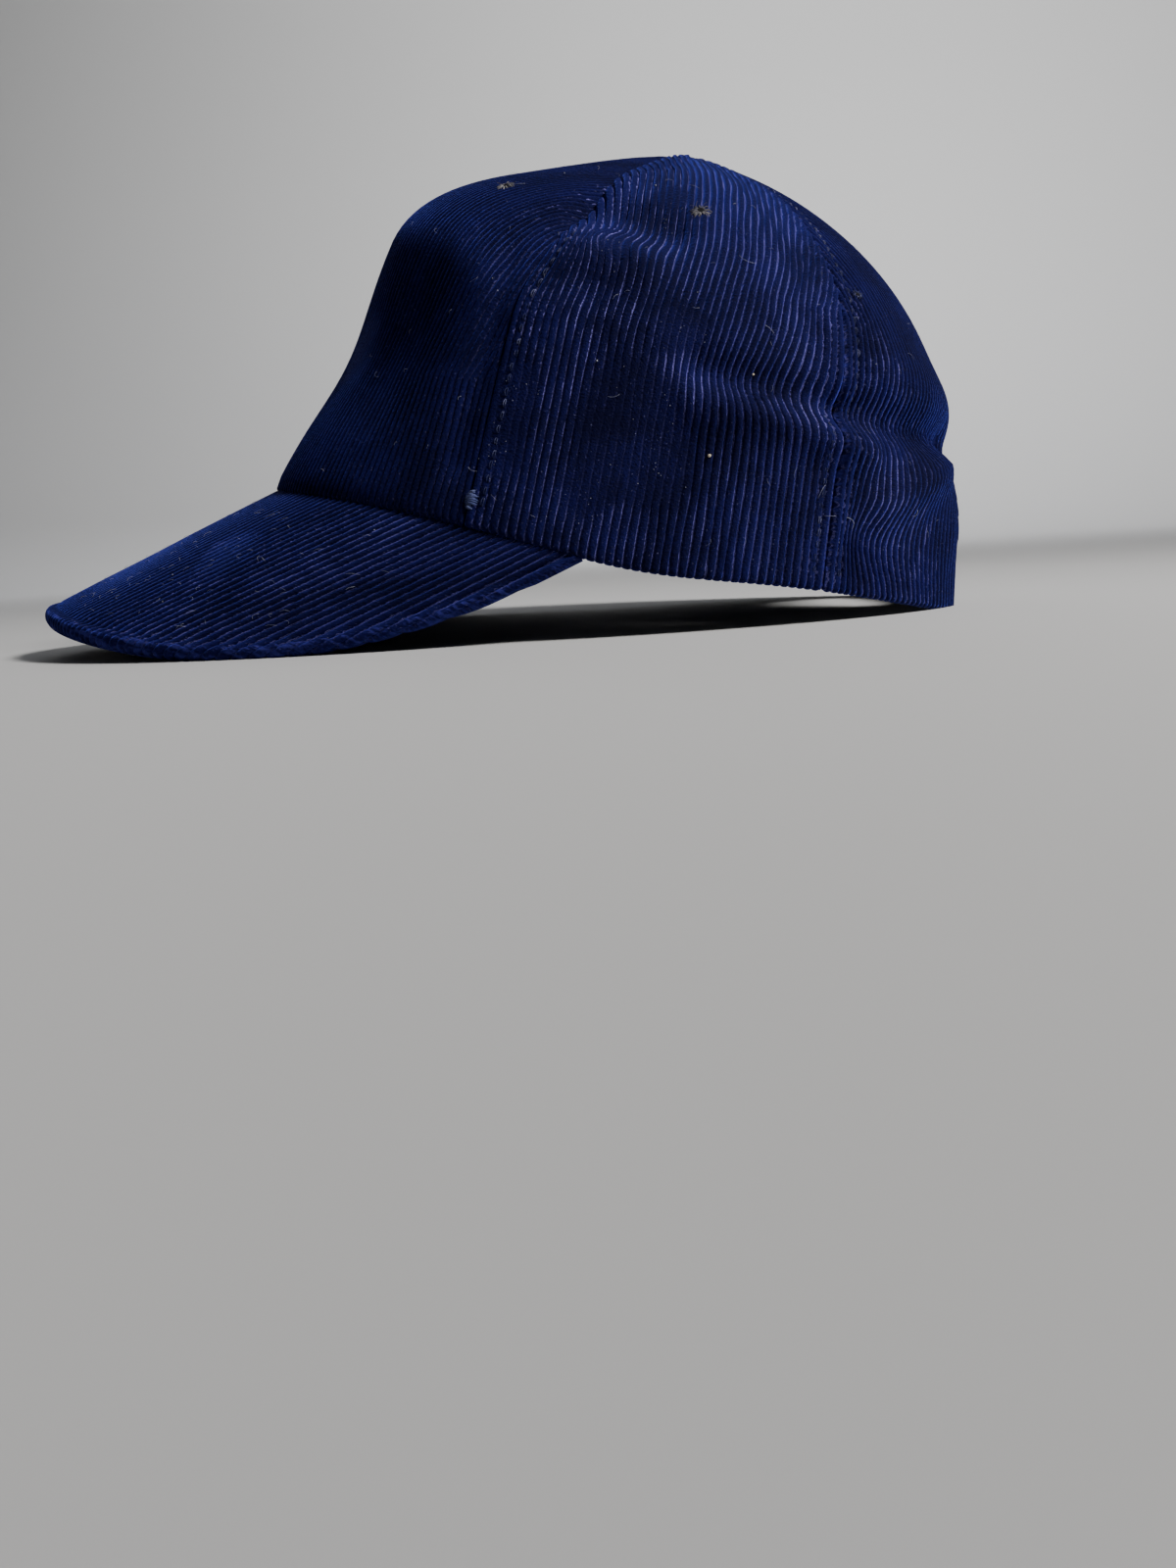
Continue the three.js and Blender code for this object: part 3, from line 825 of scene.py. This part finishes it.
def tube(path, normals, radii, sides):  # a closed tube along a short path
    along = unit(np.gradient(path, axis=0))
    across = unit(np.cross(along, normals))
    lift = np.cross(across, along)
    turn = np.linspace(0, 2 * math.pi, sides, endpoint=False)
    ring = across[:, None, :] * np.cos(turn)[None, :, None] + lift[:, None, :] * np.sin(turn)[None, :, None]
    points = path[:, None, :] + ring * np.broadcast_to(radii, len(path))[:, None, None]
    faces = []
    for r in range(len(path) - 1):
        for c in range(sides):
            d = (c + 1) % sides
            faces.append((r * sides + c, r * sides + d, (r + 1) * sides + d, (r + 1) * sides + c))
    faces.append(tuple(range(sides))[::-1])
    faces.append(tuple((len(path) - 1) * sides + c for c in range(sides)))
    return points.reshape(-1, 3), faces


def addTubes(name, tubes, material):
    points = np.concatenate([part[0] for part in tubes])
    starts = np.cumsum([0] + [len(part[0]) for part in tubes])
    faces = [tuple(start + i for i in face) for start, part in zip(starts, tubes) for face in part[1]]
    mesh = bpy.data.meshes.new(name)
    mesh.from_pydata(toFrame(points), [], faces)
    piece = bpy.data.objects.new(name, mesh)
    bpy.context.collection.objects.link(piece)
    mesh.materials.append(material)
    bpy.ops.object.select_all(action="DESELECT")
    piece.select_set(True)
    bpy.context.view_layer.objects.active = piece
    cleanFaces()
    keepPiece(piece, None)
    print(name, len(tubes), "tubes")


def onCrown(turn, climb, height):  # a place over the crown's cloth, and the way out of it
    turn, climb = np.broadcast_arrays(np.asarray(turn, float), np.asarray(climb, float))
    base = crownPoint(turn, climb, cord.sink)
    out = unit(crownPoint(turn, climb, -1.0) - base)
    return base + out * np.broadcast_to(height, turn.shape)[..., None], out


def crownReach(turn, climb):
    return float(outline(turn, climb)[0])


def stitchRow(turns, climbs, draws, lift=0.0):  # stitches along a way over the crown
    run = runAlong(onCrown(turns, climbs, 0.0)[0])
    share = np.linspace(0, 1, thread.rings)
    arc = np.sin(share * math.pi)
    row = []
    for start in np.arange(thread.ends, run[-1] - thread.length - thread.ends, thread.step):
        first = start + draws.uniform(-0.25, 0.25)
        place = first + share * thread.length * draws.uniform(0.85, 1.05)
        height = lift - thread.bury + (thread.height + thread.bury) * arc ** 0.6
        height = height + draws.uniform(-0.3, 0.12)
        aside = draws.uniform(-0.2, 0.2)
        radii = thread.radius * (0.55 + 0.45 * arc ** 0.5)
        for strand in (-1, 1):  # two strands bow apart, as in a chain stitch
            sway = aside + strand * thread.bow * arc * draws.uniform(0.7, 1.2)
            turn = np.interp(place, run, turns) + sway / crown.headRadius
            path, out = onCrown(turn, np.interp(place, run, climbs), height)
            row.append(tube(path, out, radii, thread.sides))
    return row


def besideSeam(line, offset, low, high, side):  # a way that keeps a distance to a seam
    climbs = np.linspace(low, high, thread.wayPoints)
    return side * (line(climbs) + offset / outline(line(climbs), climbs)[0]), climbs


seamRows = [  # seam, offset towards the back, lowest and highest climb, and lift
    (frontSeam, 3.9, 0.03, 0.86, 0.45),
    (backSeam, -3.6, 0.02, 0.86, 0.3),
    (backSeam, 3.6, 0.02, 0.86, 0.3),
    (backMiddle, -3.6, 0.36, 0.86, 0.3),
]
archRow = Sizes(offset=4.2, shares=(0.06, 0.5), points=80, firstTurn=165, rounds=8, topClimb=0.5, levels=120)


def besideArch(side):  # a way round the arch, found in a few rounds from a first guess
    share = np.linspace(*archRow.shares, archRow.points) * math.pi
    aimX = (arch.halfWidth + archRow.offset) * np.cos(share)
    aimZ = (arch.height + archRow.offset) * np.sin(share)
    grid = np.linspace(0, archRow.topClimb, archRow.levels)
    turns = np.full(len(share), math.radians(archRow.firstTurn))
    climbs = np.zeros(len(share))
    for _ in range(archRow.rounds):
        for i in range(len(share)):
            climbs[i] = np.interp(aimZ[i], outline(turns[i], grid)[1], grid)
        reach = outline(turns, climbs)[0]
        turns = math.pi - np.arcsin(np.clip(aimX / reach, -1, 1))
    return side * turns, climbs


# the lighter end is a painted glint where the thread catches the light
navyThread = makeThread("navy_thread", rgb(0.014, 0.017, 0.06), rgb(0.17, 0.18, 0.32))


def addTopstitching():
    draws = np.random.default_rng(7)
    tubes = []
    for side in (1, -1):
        for *way, lift in seamRows:
            tubes += stitchRow(*besideSeam(*way, side), draws, lift)
        tubes += stitchRow(*besideArch(side), draws)
    addTubes("topstitching", tubes, navyThread)


eyelets = {  # degrees from the front, climb, inner and outer radius, and stitches of the ring
    "front": (42.5, 0.582, 0.7, 2.5, 34),
    "side": (93.5, 0.596, 0.8, 2.9, 40),
    "back": (131.0, 0.506, 0.6, 1.8, 26),
}
eyeletThread = Sizes(radius=0.13, low=0.3, rise=0.6, points=5, sides=5,
                     frayed=5, frayRadii=(0.07, 0.04), frayHeight=0.7, frayPoints=6, fraySides=4)
eyeletHoleShade = Sizes(at=0.55, radius=0.6,  # a near-black ring of painted shade where the hole opens into the dark inside, in shares of the inner radius
                   height=0.62, points=11, sides=5)


def addEyelets():
    draws = np.random.default_rng(11)
    sewn = eyeletThread
    worked, plain, dark = [], [], []
    for name, (turn, climb, inner, outer, stitches) in eyelets.items():
        ring = plain if name == "back" else worked
        middle = math.radians(turn)
        reach = crownReach(middle, climb)
        for side in (1, -1):
            def ringPlace(radius, angle, height):
                turns = side * (middle + radius * np.cos(angle) / reach)
                return onCrown(turns, climb + radius * np.sin(angle) / climbLength, height)

            def addStrand(angle, far, swing, height, radii, sides):
                radius = np.linspace(inner, outer * far, len(radii))
                path, out = ringPlace(radius, angle + np.linspace(0, swing, len(radii)), height)
                ring.append(tube(path, out, radii, sides))
            for k in range(stitches):
                arc = np.sin(np.linspace(0.12, 1, sewn.points) * math.pi)
                addStrand(2 * math.pi * (k + draws.uniform(-0.35, 0.35)) / stitches,
                          draws.uniform(0.5, 1.15), draws.uniform(-0.25, 0.25),
                          sewn.low + sewn.rise * arc ** 0.6 + draws.uniform(-0.25, 0.2),
                          sewn.radius * (0.5 + 0.5 * arc ** 0.5), sewn.sides)
            for _ in range(sewn.frayed):
                addStrand(draws.uniform(0, 2 * math.pi), draws.uniform(1.0, 1.45), draws.uniform(-0.7, 0.7),
                          np.linspace(sewn.frayHeight, draws.uniform(0.9, 1.7), sewn.frayPoints),
                          np.linspace(*sewn.frayRadii, sewn.frayPoints), sewn.fraySides)
            # painted shade: a near-black ring stands in for the shaded opening of each eyelet
            hole = np.linspace(0, 2 * math.pi, eyeletHoleShade.points)
            path, out = ringPlace(inner * eyeletHoleShade.at, hole, eyeletHoleShade.height)
            dark.append(tube(path, out, inner * eyeletHoleShade.radius, eyeletHoleShade.sides))
    wornThread = makeThread("worn_thread", rgb(0.07, 0.068, 0.085), rgb(0.36, 0.34, 0.335))
    addTubes("eyelet_stitching", worked, wornThread)
    addTubes("back_eyelet_stitching", plain, navyThread)
    eyeletShade = makeThread("eyelet_shade", rgb(0.002, 0.002, 0.004), rgb(0.006, 0.006, 0.01))
    addTubes("eyelet_hole_shade", dark, eyeletShade)


tack = Sizes(turn=63.4, low=0.028, high=0.054, width=3.6, stitches=22, radius=0.28, points=6, sides=5,
             lift=0.1, rise=0.5, swell=0.6)  # over the cloth, highest in the middle of the bar


def addTacks():  # a short bar of dense stitches at the foot of each front seam
    draws = np.random.default_rng(13)
    share = np.linspace(0, 1, tack.points)
    arc = np.sin(share * math.pi)
    tubes = []
    for side in (1, -1):
        for climb in np.linspace(tack.low, tack.high, tack.stitches):
            rounded = math.sin(math.pi * (0.15 + 0.7 * (climb - tack.low) / (tack.high - tack.low)))
            half = tack.width / 2 * rounded * draws.uniform(0.8, 1.1) / crown.headRadius
            turn = math.radians(tack.turn) + np.linspace(-half, half, tack.points)
            slant = share * draws.uniform(-0.004, 0.006)
            height = tack.lift + (tack.rise + tack.swell * rounded) * arc ** 0.5
            path, out = onCrown(side * turn, climb + slant, height)
            tubes.append(tube(path, out, tack.radius * (0.6 + 0.4 * arc), tack.sides))
    tackThread = makeThread("tack_thread", rgb(0.035, 0.044, 0.125), rgb(0.14, 0.16, 0.29))
    addTubes("seam_tacks", tubes, tackThread)


lint = Sizes(
    seed=5, hairs=150, peakHairs=200, specks=22, peakSpecks=16,
    feltSpecks=9, feltPlaces=8,       # on each of the first felted places
    feltTurn=180, feltClimb=150,      # mm to a radian and to a full climb there
    archTurn=0.08, archClimb=0.04,    # hairs stay this far from the arch
    hairRadius=0.035, hairPoints=7, bends=(-2.2, 2.2),
    lengths=[1.6, 2.4, 3.5, 6.0], odds=[0.4, 0.35, 0.2, 0.05],
    longRadius=0.07, longRise=2.8,
    crownHeight=0.74, crownRise=0.35, peakHeight=0.5, peakRise=0.3,
    peakHalfWidth=133,                # mm along the edge
    speckHeight=0.78, speckLength=1.6, speckTaper=np.array([0.45, 0.9, 1.0, 0.5]),
    speckRadius=70,                   # of the crown where specks lie
)
longHairs = [  # those that catch the eye: degrees from the front, climb, heading, bend and length
    (121.0, 0.133, 1.9, -1.3, 5.0),
    (122.0, 0.113, 0.0, 0.3, 4.0),
    (126.0, 0.116, 0.1, -1.6, 4.6),
]
paleSpecks = [(100.5, 0.173, 0.42), (106.5, 0.303, 0.3)]  # degrees from the front, climb and size


def hairWay(heading, bend, length):  # steps along and up the cloth, and the rise of the arc
    share = np.linspace(0, 1, lint.hairPoints)
    angle = heading + bend * share
    along = np.cumsum(np.cos(angle)) * length / lint.hairPoints
    up = np.cumsum(np.sin(angle)) * length / lint.hairPoints
    return along, up, np.sin(share * math.pi)


def crownHair(turn, climb, heading, bend, length, rise, radius):
    along, up, arc = hairWay(heading, bend, length)
    turns = turn + along / crownReach(turn, climb)
    height = lint.crownHeight + lint.crownRise * arc * rise
    return tube(*onCrown(turns, climb + up / climbLength, height), radius, 3)


def crownSpeck(turn, climb, size):
    turns = turn + np.linspace(0, lint.speckLength, 4) * size / lint.speckRadius
    return tube(*onCrown(turns, climb, lint.speckHeight), size * lint.speckTaper, 5)


def onPeak(side, along, height):
    side, along = np.broadcast_arrays(side, along)
    base = peakPoint(side, along)
    out = unit(peakPoint(side, along, -1.0) - base)
    return base + out * np.broadcast_to(height, side.shape)[..., None], out


def addLint():
    draws = np.random.default_rng(lint.seed)
    hairs, places = [], []
    for _ in range(lint.hairs):
        turn = draws.uniform(-math.pi, math.pi)
        climb = draws.uniform(0.04, 0.8)
        heading = draws.uniform(0, 2 * math.pi)
        bend = draws.uniform(*lint.bends)
        length = draws.choice(lint.lengths, p=lint.odds)
        rise = draws.uniform(0.3, 1.4)
        nearby = turn + np.linspace(-lint.archTurn, lint.archTurn, 5)
        if not np.any(underArch(crownPoint(nearby, max(climb - lint.archClimb, 0)))):
            hairs.append(crownHair(turn, climb, heading, bend, length, rise, lint.hairRadius))
    for turn, *way in longHairs:
        hairs.append(crownHair(math.radians(turn), *way, lint.longRise, lint.longRadius))
    for _ in range(lint.peakHairs):
        side = draws.uniform(-0.8, 0.8)
        along = draws.uniform(0.1, 0.9)
        heading = draws.uniform(0, 2 * math.pi)
        x, y, arc = hairWay(heading, draws.uniform(*lint.bends), draws.choice(lint.lengths[:3]))
        height = lint.peakHeight + lint.peakRise * arc
        way = onPeak(side + x / lint.peakHalfWidth, along + y / peak.length, height)
        hairs.append(tube(*way, lint.hairRadius, 3))
    for _ in range(lint.specks):
        places.append((draws.uniform(-2.6, 2.6), draws.uniform(0.05, 0.75), draws.uniform(0.1, 0.24)))
    for (x, y, z), reach in worn[:lint.feltPlaces]:  # fluff keeps to the felted places
        for _ in range(lint.feltSpecks):
            turn = math.atan2(x, -y) + draws.normal() * reach / lint.feltTurn
            climb = (z + draws.normal() * reach / 2) / lint.feltClimb
            places.append((turn, max(climb, 0.04), draws.uniform(0.06, 0.13)))
    specks = [crownSpeck(*place) for place in places]
    crumbs = [crownSpeck(math.radians(turn), climb, size) for turn, climb, size in paleSpecks]
    for _ in range(lint.peakSpecks):
        side = draws.uniform(-0.8, 0.8)
        along = draws.uniform(0.1, 0.95)
        size = draws.uniform(0.1, 0.2)
        sides = side + np.linspace(0, lint.speckLength, 4) * size / lint.peakHalfWidth
        specks.append(tube(*onPeak(sides, along, lint.peakHeight), size * lint.speckTaper, 5))
    addTubes("lint_hairs", hairs, makeThread("lint_fibre", rgb(0.16, 0.17, 0.26), rgb(0.50, 0.51, 0.58)))
    addTubes("lint_specks", specks, makeThread("lint_speck", rgb(0.20, 0.21, 0.27), rgb(0.50, 0.50, 0.54)))
    addTubes("crumbs", crumbs, makeThread("crumb", rgb(0.45, 0.38, 0.27), rgb(0.85, 0.76, 0.60)))


addTopstitching()
addEyelets()
addTacks()
addLint()
print("threads and lint made")

sweatband = Sizes(middle=0, halfSpan=152, low=1.5, high=25, wall=1.3, gap=0.8, columns=120,
                  dark=rgb(0.006, 0.009, 0.035), light=rgb(0.016, 0.021, 0.07))
strap = Sizes(middle=180, halfSpan=25, low=5, high=23, wall=1.5, gap=0.5, columns=40,
              dark=rgb(0.006, 0.008, 0.030), light=rgb(0.010, 0.013, 0.044))
strip = Sizes(rows=8, level=0.3, edge=0.4)  # a strip's height is read at this climb


def makeBandCloth():
    material, shader, s = newMaterial("band_cloth")
    uv = s.clothMap()
    along, up, _ = uv.split()
    twill = along.math("SINE", (along + up) * 7.0) * 0.5 + 0.5
    mottle = uv.noise(0.2, 3.0, 0.5)
    shade = (twill * 0.6 + mottle * 0.4).clamp(0.2, 0.9)
    applyFinish(shader, shade.blend(sweatband.dark, sweatband.light), 0.75 + mottle * 0.15, twill, 0.4)
    return material


def makeStrapPlastic():
    material, shader, s = newMaterial("strap_plastic")
    place = s.objectPlace()
    grain = place.noise(2200.0, 2.0, 0.5)
    scuff = place.noise(160.0, 4.0, 0.6)
    shade = scuff.clamp(0.35, 0.75)
    applyFinish(shader, shade.blend(strap.dark, strap.light), 0.38 + scuff * 0.22, grain, 0.15)
    return material


def innerStrip(name, sizes, material):
    start = sizes.middle - sizes.halfSpan
    end = sizes.middle + sizes.halfSpan
    turns = np.radians(np.linspace(start, end, sizes.columns))[None, :]
    levels = np.linspace(sizes.low, sizes.high, strip.rows)[:, None]
    climbs = levels / outline(turns, strip.level)[1] * strip.level
    turns = np.broadcast_to(turns, climbs.shape)
    near = crown.wall + sizes.gap
    outer = crownPoint(turns, climbs, near)
    inner = crownPoint(turns, climbs, near + sizes.wall)
    uv = np.stack([turns * crown.headRadius, np.broadcast_to(levels, climbs.shape)], -1)
    piece = addWall(name + "_strip", outer, inner, uv, (material, material))
    bevel = piece.modifiers.new("edges", "BEVEL")
    bevel.width = strip.edge * mm
    bevel.segments = 2
    bevel.angle_limit = math.radians(60)
    bpy.ops.object.modifier_apply(modifier=bevel.name)
    keepPiece(piece, name)


innerStrip("sweatband", sweatband, makeBandCloth())
innerStrip("back_strap", strap, makeStrapPlastic())
print("sweatband and strap made")

# stage, light and camera

photoView = Sizes(distance=425.3, aimY=-9.4, aimZ=1.7,  # the eye, in the cap's own frame
                  pitch=9.73, rimTilt=10.25, focal=1470, imageHeight=1600, sensor=36)


def addCamera():
    bpy.ops.object.camera_add()
    camera = bpy.context.object
    camera.data.sensor_width = photoView.sensor
    camera.data.lens = photoView.focal / photoView.imageHeight * photoView.sensor
    camera.data.clip_start = 0.005
    roll = math.radians(photoView.rimTilt - rest.lean)
    pitch = math.radians(photoView.pitch)
    right = Vector((0, math.cos(roll), math.sin(roll)))
    level = Vector((0, -math.sin(roll), math.cos(roll)))
    out = Vector((1, 0, 0))
    back = out * math.cos(pitch) + level * math.sin(pitch)
    up = level * math.cos(pitch) - out * math.sin(pitch)
    eye = toFrame(np.array([photoView.distance, photoView.aimY, photoView.aimZ]))
    turn = Matrix((right, up, back)).transposed().to_4x4()
    camera.matrix_world = Matrix.Translation(Vector(eye)) @ turn
    bpy.context.scene.camera = camera


stage = Sizes(
    flat=[0, 0.35, 0.8],  # rings of the level middle
    radius=1.3, bend=0.9, wall=1.4, sectors=96, bendRows=13, roughness=0.9,
    floor=rgb(0.42, 0.42, 0.425), backdrop=rgb(0.40, 0.40, 0.40),
    air=rgb(0.62, 0.64, 0.67), airStrength=0.024,
)


def makePaleFloor():
    material, shader, s = newMaterial("pale_floor", {"Roughness": stage.roughness})
    place = s.objectPlace()
    mottle = place.noise(3.0, 4.0, 0.5)
    height = place.split()[2]
    shade = (height + (mottle - 0.5) * 0.12).clamp(0.0, 0.9)
    linkTo(shader, "Base Color", shade.blend(stage.floor, stage.backdrop))
    return material


def addStage():  # a round floor that bends up into a wall on all sides
    bendWay = np.linspace(0, math.pi / 2, stage.bendRows)
    reach = np.concatenate([stage.flat, stage.radius + stage.bend * np.sin(bendWay)])
    level = np.concatenate([np.zeros(len(stage.flat)), stage.bend * (1 - np.cos(bendWay))])
    reach = np.append(reach, reach[-1])[:, None]
    level = np.append(level, level[-1] + stage.wall)[:, None]
    turns = np.linspace(0, 2 * math.pi, stage.sectors + 1)[None, :]
    places = np.stack([reach * np.cos(turns), reach * np.sin(turns), level + 0 * turns], -1)
    floor = addGrid("floor", places)
    floor.data.vertices.foreach_set("co", places.reshape(-1))
    floor.data.update()
    cleanFaces(inside=True, merge=True)
    floor.data.materials.append(makePaleFloor())
    world = bpy.data.worlds.new("studio")
    world.use_nodes = True
    background = world.node_tree.nodes["Background"]
    background.inputs[0].default_value = stage.air
    background.inputs[1].default_value = stage.airStrength
    bpy.context.scene.world = world


lamps = {  # place and aim in metres, power in watts, size, colour, and spread in degrees
    "window": ((0.55, 0.98, 1.05), (0, 0.02, 0.06), 6.2, 0.35, (1.0, 0.98, 0.95), 70),
    "backdrop": ((-0.6, 0.3, 1.6), (-2.2, 0.4, 0.35), 26, 0.8, (1.0, 1.0, 1.0), 110),
    "sky": ((-0.25, 0.2, 1.7), (0, 0, 0.06), 1.0, 1.4, (0.93, 0.96, 1.0), 180),
    "fill": ((-1.25, -0.45, 0.75), (0, 0, 0.06), 3.6, 0.8, (0.95, 0.97, 1.0), 180),
}


def addLamp(name, place, aim, power, size, colour, spread):
    bpy.ops.object.light_add(type="AREA")
    lamp = bpy.context.object
    lamp.name = name
    lamp.data.energy = power
    lamp.data.size = size
    lamp.data.color = colour
    lamp.data.spread = math.radians(spread)
    turn = (Vector(aim) - Vector(place)).to_track_quat("-Z", "Y").to_matrix().to_4x4()
    lamp.matrix_world = Matrix.Translation(Vector(place)) @ turn


addCamera()
addStage()
for name, row in lamps.items():
    addLamp(name, *row)
print("stage made")
